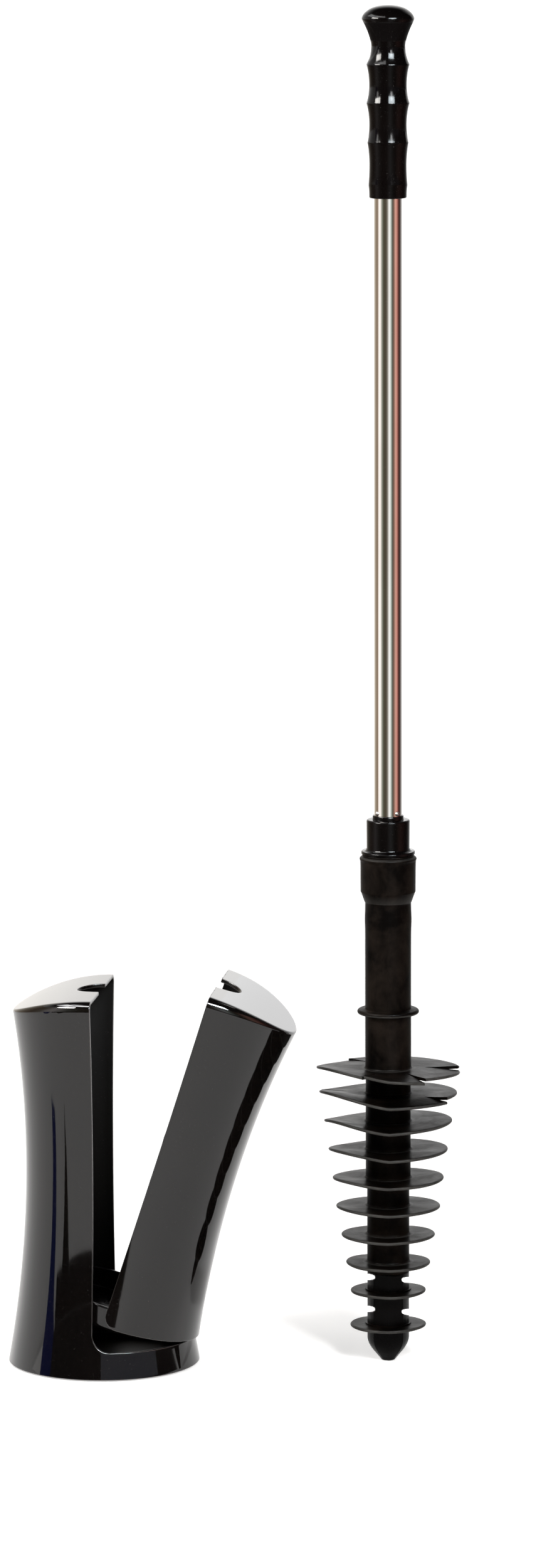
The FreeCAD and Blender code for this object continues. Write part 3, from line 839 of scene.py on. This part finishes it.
def boot_profile():
    """Profile points, each with the fin that it belongs to or None."""
    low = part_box("finned_boot")[0].z
    points = [(LOWER_R - 0.4 * MM, low, None), (LOWER_R, low + 0.4 * MM, None)]
    for fin in FINS:
        points += [(r, z, fin) for r, z in fin.profile()]
    # The stop ring, and the plain sleeve over it.
    plain = [(UPPER_R, RING_Z - 1.6 * MM), (UPPER_R + 0.4 * MM, RING_Z - 1.3 * MM)]
    plain += arc((16.35 * MM, RING_Z), 1.3 * MM, -90, 90, 10)
    plain += [(UPPER_R + 0.4 * MM, RING_Z + 1.3 * MM), (UPPER_R, RING_Z + 1.6 * MM)]
    plain += [(UPPER_R, height * MM) for height in (215, 228, 241)]
    # A slight swell, then the collar with a rolled lip, and the bore.
    for n in range(9):
        swell = 0.22 * MM * sin(pi * n / 8) ** 2
        plain.append((UPPER_R + swell - 0.02 * MM * n / 8, (250 + 1.9 * n) * MM))
    plain += arc((14.6 * MM, 266.9 * MM), 1.5 * MM, 180, 138, 5)
    plain += arc((14.3 * MM, 274.1 * MM), 1.4 * MM, -42, 0, 5)
    plain += in_mm((15.72, 278), (15.75, 283), (15.78, 288.5), (15.85, 290.9))
    plain += arc((15.35 * MM, 292.7 * MM), 0.95 * MM, -50, 50, 7)
    plain += [(15.5 * MM, MOUTH_Z - 0.3 * MM), (15.1 * MM, MOUTH_Z), (MOUTH_BORE, MOUTH_Z)]
    plain += [(MOUTH_BORE, SPIGOT_LOW), (BOOT_BORE, SPIGOT_LOW), (BOOT_BORE, low)]
    return points + [(r, z, None) for r, z in plain]


def sleeve_relief(radius, angle, height):
    """Uneven skin of the sleeve: slow dents and two raised mould lines."""
    spot = Vector((cos(angle) * 1.6, sin(angle) * 1.6, height * 60))
    dents = 0.09 * MM * noise.noise(spot)
    parting = min(abs(sin(angle - CAMERA_TURN - pi / 2)), 1.0)
    return radius + dents + 0.07 * MM * exp(-(parting / 0.03) ** 2)


def boot_point(spot, column, after):
    """Place of one profile point. At a slit, after says which lip of it is meant."""
    radius, height, fin = spot
    angle = 2 * pi * column / FIN_COLUMNS
    if fin is not None:
        height += fin.rise(radius, column, after)
        if column in fin.slits and radius > fin.inner:
            gap = SLIT_WIDTH / 2 / radius * min(1.0, (radius - fin.inner) / (2 * MM))
            angle += gap if after else -gap
    elif radius > LOWER_R:
        radius = sleeve_relief(radius, angle, height)
    return AXIS + Vector((radius * cos(angle), radius * sin(angle), height))


def boot_wear_and_highlights(spot):
    """How much paler the rubber is: fin rims partly rubbed grey and partly a painted highlight, a painted
    glint on each fin's top by the sleeve, and painted highlights on the stop ring and the collar's cone and
    lip.
    """
    radius, height, fin = spot
    if fin is not None:
        # A paler band on each fin's top beside the sleeve is a painted glint.
        on_top = height > fin.height + FIN_ROOT * 0.9
        root = on_top and 0.5 * MM < radius - fin.above < 2.5 * MM
        return 1.0 if radius > fin.radius - WORN_AND_HIGHLIT_RIM else 0.7 * root
    # The stop ring's edge and the collar's cone and lip get painted highlights.
    cone = 262 * MM < height < 272.5 * MM and radius > 13.4 * MM
    lip = height > 293.2 * MM and radius > 15 * MM
    ring = height < RING_Z and radius > 16.8 * MM
    return 1.0 if ring else 0.45 * (cone or lip)


def finned_boot():
    """Sleeve and fins as one closed skin, cut through at the slits."""
    profile = boot_profile()
    rows = len(profile)
    points = []
    lightened = []
    for column in range(FIN_COLUMNS):
        points += [boot_point(spot, column, False) for spot in profile]
        lightened += [boot_wear_and_highlights(spot) for spot in profile]
    second = {}
    slit_rows = []
    for fin in FINS:
        free = [row for row in range(rows) if profile[row][2] is fin and profile[row][0] > fin.inner]
        for column in fin.slits:
            slit_rows.append((column, free[0], free[-1]))
            for row in free:
                second[column, row] = len(points)
                points.append(boot_point(profile[row], column, True))
                lightened.append(boot_wear_and_highlights(profile[row]))

    def first_lip(column, row):
        return (column % FIN_COLUMNS) * rows + row % rows

    def second_lip(column, row):
        return second.get((column % FIN_COLUMNS, row % rows), first_lip(column, row))

    faces = []
    for column in range(FIN_COLUMNS):
        for row in range(rows):
            faces.append([second_lip(column, row), first_lip(column + 1, row),
                          first_lip(column + 1, row + 1), second_lip(column, row + 1)])
    for column, low, high in slit_rows:
        for n in range((high - low) // 2 + 1):
            ring = [low - 1 + n, low + n, high - n, high + 1 - n]
            wall = [first_lip(column, row) for row in dict.fromkeys(ring)]
            facing = [second_lip(column, row) for row in dict.fromkeys(ring)]
            faces.append(wall)
            faces.append(list(reversed(facing)))
    piece = new_object("finned_boot_rubber", points, faces, BOOT_RUBBER)
    mark_points(piece, "lightened", lightened)
    # The fins take the darker rubber, painted shade against the light on their tops.
    piece.data.materials.append(SHADED_FIN_RUBBER)
    for polygon in piece.data.polygons:
        spot = polygon.center - AXIS
        polygon.material_index = int(hypot(spot.x, spot.y) > FIN_SKIN_R and spot.z < FIN_SKIN_TOP)
    piece.data.set_sharp_from_angle(angle=SHARP_FIN)
    settle(piece, "plunger", "boot_rubber", "finned_boot")


HUB_R = 13.2 * MM
HUB_BORE = 11.55 * MM
HUB_ROOT = 12.4 * MM
NOSE_FIN_SADDLE = 0.6


def nose_fin(node, height, radius):
    """Push-on fin on the nose: a short hub under a thin round fin."""
    fin = Fin(height, radius, HUB_ROOT, HUB_ROOT, NOSE_FIN_SADDLE, 0.0)
    low, high = (corner.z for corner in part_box(node))
    profile = [spot for spot in fin.profile() if spot[0] > 13 * MM]
    profile = [(HUB_R, low)] + profile + [(HUB_R, high), (HUB_BORE, high), (HUB_BORE, low)]

    def warp(r, angle, z):
        column = angle / (2 * pi) * FIN_COLUMNS
        return r, z + (fin.rise(r, column, False) if r > FIN_SKIN_R else 0.0)

    # The nose fins take the darker rubber too, the same painted shade.
    piece = lathe(node + "_rubber", profile, FIN_COLUMNS, SHADED_FIN_RUBBER, warp)
    # Paler rims on the nose fins: rubbed wear and a painted highlight.
    rim = [float(r > fin.radius - WORN_AND_HIGHLIT_RIM) for r, z in profile]
    mark_points(piece, "lightened", [value for value in rim for _ in range(FIN_COLUMNS)])
    piece.data.set_sharp_from_angle(angle=SHARP_FIN)
    settle(piece, "plunger", "fin_rubber", node)


finned_boot()
nose_fin("nose_fin_upper", 40.7, 21.6)
nose_fin("nose_fin_lower", 20.7, 21.8)


# ---- Ferrule and gasket ----

FERRULE_COLUMNS = 128
FLANGE_LOW = 295.4 * MM
GASKET_R = 14.8 * MM


def ferrule():
    """Socket for the tube. A hollow curve joins it to the flange over the boot's mouth."""
    profile = in_mm((0, 240), (7.95, 240), (7.95, 262), (11, 262), (11, 295.4))
    profile += in_mm((15.1, 295.4), (15.4, 295.7), (15.4, 296.5))
    profile += arc((14.7 * MM, 296.6 * MM), 0.7 * MM, 0, 75, 6)
    profile += arc((14.3 * MM, 299.2 * MM), 2 * MM, 262, 182, 9)
    profile += in_mm((12.35, 306), (12.4, 313.9))
    profile += arc((11.4 * MM, 314.3 * MM), 1 * MM, 5, 90, 7)
    profile += in_mm((9.1, 315.3), (8.9, 315.5), (8.85, 317.4), (8.6, 317.7))
    profile += in_mm((8.05, 317.7), (8.05, 272), (0, 272))
    piece = lathe("ferrule_moulding", profile, FERRULE_COLUMNS, FERRULE_GLOSS)
    piece.data.set_sharp_from_angle(angle=radians(40))
    settle(piece, "plunger", "ferrule_gloss", "ferrule")


def mouth_gasket():
    """Thin rubber ring in the gap between the boot's mouth and the flange."""
    half = (FLANGE_LOW - MOUTH_Z) / 2
    profile = arc((GASKET_R - half, MOUTH_Z + half), half, -90, 90, 8)
    profile += [(MOUTH_BORE, FLANGE_LOW), (MOUTH_BORE, MOUTH_Z)]
    piece = lathe("mouth_gasket_rubber", profile, FERRULE_COLUMNS, BOOT_RUBBER)
    settle(piece, "plunger", "boot_rubber", "mouth_gasket")


ferrule()
mouth_gasket()


# ---- Nose ----

NOSE_R = 12 * MM
NOSE_TIP_R = 3.9 * MM
NOSE_BULLET = in_mm((3.3, 0), (3.9, 0.25), (4.5, 0.9), (5.4, 2.0), (6.6, 3.4), (7.9, 4.9), (9.1, 6.4),
                    (10.1, 7.9), (10.95, 9.4), (11.5, 10.8), (11.85, 12.2), (12.0, 13.6), (12.0, 15.0))
NOSE_TOP = 51.95 * MM
SHANK_R = 7.9 * MM
SHANK_TOP = 75 * MM
FLUTE_DEPTH = 0.55 * MM
SLOT_PAIRS = (28.8 * MM, 47.6 * MM)
SLOT_STEP = 0.95 * MM
SLOT_LEAN = tan(radians(13))
SLOT_REACH = 9.2 * MM
# One slot's section: distance of its floor from the nose's axis, and height over its middle.
SLOT_SECTION = in_mm((12.0, -1.85), (10.6, -1.8), (8.8, -1.5), (7.9, -1.1), (7.6, -0.5), (7.6, 0.5),
                     (7.9, 1.1), (8.8, 1.5), (10.6, 1.8), (12.0, 1.85))


def nose():
    """Bullet nose with ridged flutes, and two leaning side slots cut through on either side."""
    profile = [(0, 0)] + NOSE_BULLET
    floors = {}
    for middle in SLOT_PAIRS:
        for floor, rise in SLOT_SECTION:
            floors[middle + rise] = floor
            profile.append((NOSE_R, middle + rise))
        if middle == SLOT_PAIRS[0]:
            profile += [(NOSE_R, 36 * MM), (NOSE_R, 41 * MM)]
    profile += [(NOSE_R, NOSE_TOP), (SHANK_R, NOSE_TOP), (SHANK_R, SHANK_TOP), (0, SHANK_TOP)]

    def warp(radius, angle, height):
        across, depth = cos(angle - CAMERA_TURN), sin(angle - CAMERA_TURN)
        if radius > NOSE_TIP_R and height < NOSE_TOP:
            flute = abs(sin(4 * (angle - CAMERA_TURN))) ** 0.7
            radius -= FLUTE_DEPTH * flute * radius / NOSE_R
        if height in floors:
            shift = max(-SLOT_REACH, min(SLOT_REACH, radius * depth)) * SLOT_LEAN + SLOT_STEP * across
            radius = min(radius, floors[height] / max(abs(across), 0.01))
            height = min(height - shift, NOSE_TOP - 0.05 * MM)
        return radius, height

    piece = lathe("nose_moulding", profile, FIN_COLUMNS, NOSE_PLASTIC, warp)
    piece.data.set_sharp_from_angle(angle=radians(35))
    settle(piece, "plunger", "nose_plastic", "nose")


nose()


# ---- Floor, studio and lights ----

CADDY_AXIS = Vector((0, 0, 0))
FLOOR_HALF = 120.0
SWEEP_DIRECTION = -152
ROOM_LIGHT = (0.02, 0.021, 0.026)
SWEEP_LIGHT = (2.1, 2.08, 2.05)


def toward(centre, degrees, distance, height):
    """A place round an upright axis. 0 degrees is towards the camera and 90 is to its right."""
    angle = radians(degrees)
    level = centre - AWAY * distance * cos(angle) + RIGHT * distance * sin(angle)
    return level + upward(height)


def make_floor():
    """Pale paper that gives back a little more light than it gets, so that it stays white."""
    corners = [(x * FLOOR_HALF, y * FLOOR_HALF, 0) for x, y in ((-1, -1), (1, -1), (1, 1), (-1, 1))]
    material, nodes = blank_material("floor_paper")
    diffuse = nodes.add("BsdfDiffuse")
    nodes.fill(diffuse.inputs, Color=(0.78, 0.77, 0.76, 1))
    glow = nodes.add("Emission")
    nodes.fill(glow.inputs, Color=(1.0, 0.99, 0.98, 1))
    far = nodes.add("VectorMath", operation="LENGTH")
    nodes.join(nodes.add("TexCoord").outputs["Object"], far.inputs[0])
    nodes.join(nodes.remap(far.outputs["Value"], 0.6, 3.0, 0.5, 1.0), glow.inputs["Strength"])
    both = nodes.add("AddShader")
    nodes.join(diffuse.outputs[0], both.inputs[0])
    nodes.join(glow.outputs[0], both.inputs[1])
    nodes.join(both.outputs[0], nodes.add("OutputMaterial").inputs["Surface"])
    new_object("floor", corners, [[0, 1, 2, 3]], material)


def make_world():
    """White to the camera. In reflections: a bright sweep behind and left, and a dark room elsewhere."""
    world = bpy.data.worlds.new("studio")
    SCENE.world = world
    world.use_nodes = True
    nodes = Nodes(world.node_tree)
    direction = nodes.add("TexCoord").outputs["Generated"]
    split = nodes.add("SeparateXYZ")
    nodes.join(direction, split.inputs[0])
    sweep_middle = nodes.add("VectorMath", operation="DOT_PRODUCT")
    nodes.join(direction, sweep_middle.inputs[0])
    sweep_middle.inputs[1].default_value = toward(CADDY_AXIS, SWEEP_DIRECTION, 1.0, 0)
    behind = nodes.remap(sweep_middle.outputs["Value"], 0.12, 0.25)
    low_down = nodes.remap(split.outputs["Z"], 0.75, 0.45)
    sweep = nodes.math("MULTIPLY", behind, low_down)
    room = nodes.add("Background")
    nodes.join(nodes.blend(sweep, ROOM_LIGHT, SWEEP_LIGHT), room.inputs["Color"])
    plain = nodes.add("Background")
    nodes.fill(plain.inputs, Color=(1, 1, 1, 1))
    seen = nodes.add("LightPath").outputs["Is Camera Ray"]
    choose = nodes.add("MixShader")
    nodes.join(seen, choose.inputs[0])
    nodes.join(room.outputs[0], choose.inputs[1])
    nodes.join(plain.outputs[0], choose.inputs[2])
    nodes.join(choose.outputs[0], nodes.add("OutputWorld").inputs["Surface"])


# Tall panels round the set, from behind the plunger by its left and front to its right.
# Each is a direction in degrees and the light that it gives back.
PANELS = (
    (-178, (1.58, 1.56, 1.54)), (-162, (1.38, 1.35, 1.31)), (-146, (0.85, 0.79, 0.7)),
    (-121, (0.5, 0.42, 0.32)), (-101, (0.33, 0.24, 0.17)), (-88, (0.55, 0.47, 0.38)),
    (-79, (1.3, 1.2, 1.15)), (-71, (1.75, 1.65, 1.6)), (-63, (1.2, 1.15, 1.1)), (-52, (0.42, 0.44, 0.38)),
    (-40, (0.14, 0.14, 0.1)), (-27, (0.095, 0.08, 0.055)), (-15, (0.14, 0.12, 0.09)),
    (-6, (0.3, 0.28, 0.24)), (3, (0.95, 0.95, 0.92)), (12, (1.45, 1.48, 1.5)), (20, (0.9, 1.0, 0.95)),
    (30, (0.3, 0.32, 0.28)), (38, (0.13, 0.11, 0.085)), (46, (0.26, 0.16, 0.12)), (56, (0.85, 0.46, 0.37)),
    (66, (1.05, 0.53, 0.43)), (77, (0.72, 0.3, 0.25)), (88, (0.3, 0.11, 0.09)), (99, (0.07, 0.024, 0.02)),
    (112, (0.1, 0.07, 0.065)), (130, (0.42, 0.4, 0.39)), (146, (0.85, 0.85, 0.86)), (162, (1.5, 1.5, 1.5)),
    (178, (1.8, 1.8, 1.8)),
)
PANEL_RANGE = 0.8
PANEL_FOOT = 0.14
PANEL_TOP = 0.7
PANEL_GAIN = 1.2


def glowing(name, colour):
    material, nodes = blank_material(name)
    glow = nodes.add("Emission")
    if isinstance(colour, tuple):
        nodes.fill(glow.inputs, Color=(*colour, 1))
    else:
        attribute = nodes.add("Attribute", attribute_name=colour)
        nodes.join(attribute.outputs["Color"], glow.inputs["Color"])
    nodes.join(glow.outputs[0], nodes.add("OutputMaterial").inputs["Surface"])
    return material


def only_reflected(name, points, faces, colour):
    """A glowing sheet that shows in reflections and nowhere else."""
    card = new_object(name, points, faces, glowing(name, colour))
    card.visible_camera = False
    card.visible_diffuse = False
    card.visible_shadow = False
    return card


def band_faces(cells):
    """Faces of a band whose points come in pairs, one pair after the other."""
    return [[2 * n, 2 * n + 2, 2 * n + 3, 2 * n + 1] for n in range(cells)]


def make_panels():
    points = []
    colours = []
    for degrees, colour in PANELS:
        for height in (PANEL_FOOT, PANEL_TOP):
            points.append(toward(AXIS, degrees, PANEL_RANGE, height))
            colours.append((*(PANEL_GAIN * part for part in colour), 1.0))
    band = only_reflected("panels", points, band_faces(len(PANELS) - 1), "light")
    attribute = band.data.color_attributes.new("light", "FLOAT_COLOR", "POINT")
    for item, colour in zip(attribute.data, colours):
        item.color = colour


SCREEN_RANGE = 9.0
SCREEN_STEPS = 12
STRIP_HEIGHT = 0.001
# Name, near end, far end, light. An end is its left direction, its right direction and its distance.
STRIPS = (
    ("blue_strip", (-76.2, -70.8, 0.522), (-82, -67, 9.0), (0.0, 0.035, 0.32)),
    ("dark_strip", (-55, -54.5, 0.505), (-59, -46, 1.0), (0.004, 0.004, 0.004)),
)
# Name, first and last direction, low and high edge, light.
SCREENS = (
    ("left_screen", -150, -82, 0.0, 3.2, (2.1, 2.07, 2.03)),
    ("blue_screen", -82, -67, 0.0, 3.2, (0.0, 0.035, 0.32)),
    ("front_screen", -3, 68, 0.35, 1.9, (0.42, 0.44, 0.52)),
)
# Name, direction, distance, width, low and high edge, light.
CARDS = (
    ("left_card", -63, 1.5, 0.85, 1.16, 1.6, (150, 146, 140)),
    ("top_card", -42, 1.0, 1.0, 1.5, 2.1, (24, 24, 24)),
    ("far_left_card", -94, 1.0, 0.9, 1.35, 1.9, (13, 13, 13)),
    ("right_card", 20, 1.5, 0.9, 1.16, 1.6, (130, 146, 154)),
)
# Name, direction, distance, height, height aimed at, width and height of the lamp, power, colour.
SOFTBOXES = (
    ("left_softbox", -66, 1.5, 1.15, 0.45, 0.3, 0.6, 12.0, (1.0, 0.99, 0.98)),
    ("right_softbox", 20, 1.5, 1.15, 0.45, 0.3, 0.5, 30.0, (0.98, 0.99, 1.0)),
    ("high_softbox", -70, 0.75, 1.5, 0.0, 0.9, 0.35, 8.0, (1.0, 1.0, 1.0)),
)


def make_strip(name, near, far, colour):
    """Coloured strip on the floor that only the caddy's gloss shows."""
    points = []
    for left, right, distance in (near, far):
        points.append(toward(CADDY_AXIS, left, distance, STRIP_HEIGHT))
        points.append(toward(CADDY_AXIS, right, distance, STRIP_HEIGHT))
    only_reflected(name, points, [[0, 1, 3, 2]], colour)


def make_screen(name, start, end, low, high, colour):
    """Far upright screen round the caddy between two directions."""
    turns = [start + (end - start) * n / SCREEN_STEPS for n in range(SCREEN_STEPS + 1)]
    points = [toward(CADDY_AXIS, turn, SCREEN_RANGE, height) for turn in turns for height in (low, high)]
    only_reflected(name, points, band_faces(SCREEN_STEPS), colour)


def make_dark_end():
    """The far end of the room in front, where the paper stops. Its edge runs round the caddy."""
    first_turn, turned, steps = -66, 200, 40
    near, drift, far = 0.8, 0.3, 60.0
    turns = [first_turn + turned * n / steps for n in range(steps + 1)]
    edge = [near + drift * n / steps for n in range(steps + 1)]
    points = [toward(CADDY_AXIS, turn, reach, 2 * STRIP_HEIGHT) for turn, reach in zip(turns, edge)]
    points += [toward(CADDY_AXIS, turn, far, 2 * STRIP_HEIGHT) for turn in turns]
    faces = [[n, n + 1, n + steps + 2, n + steps + 1] for n in range(steps)]
    only_reflected("dark_end", points, faces, (0.008, 0.008, 0.01))


def make_card(name, degrees, distance, width, low, high, colour):
    """Upright flat card facing the plunger."""
    middle = toward(AXIS, degrees, distance, 0)
    facing = (AXIS - middle).normalized()
    side = Vector((-facing.y, facing.x, 0)) * (width / 2)
    points = [middle - side + upward(low), middle + side + upward(low),
              middle + side + upward(high), middle - side + upward(high)]
    only_reflected(name, points, [[0, 1, 2, 3]], colour)


def make_softbox(name, degrees, distance, high, aim, width, height, power, colour):
    """Rectangular lamp that points at the plunger's axis."""
    place = toward(AXIS, degrees, distance, high)
    target = AXIS + upward(aim)
    data = bpy.data.lights.new(name, "AREA")
    data.shape = "RECTANGLE"
    data.size = width
    data.size_y = height
    data.energy = power
    data.color = colour
    light = bpy.data.objects.new(name, data)
    SCENE.collection.objects.link(light)
    light.location = place
    light.rotation_mode = "QUATERNION"
    light.rotation_quaternion = (target - place).to_track_quat("-Z", "Y")
    light.visible_camera = False


make_floor()
make_world()
make_panels()
for strip in STRIPS:
    make_strip(*strip)
for screen in SCREENS:
    make_screen(*screen)
make_dark_end()
for softbox in SOFTBOXES:
    make_softbox(*softbox)
for studio_card in CARDS:
    make_card(*studio_card)

SCENE.view_settings.view_transform = "Standard"
SCENE.view_settings.look = "None"
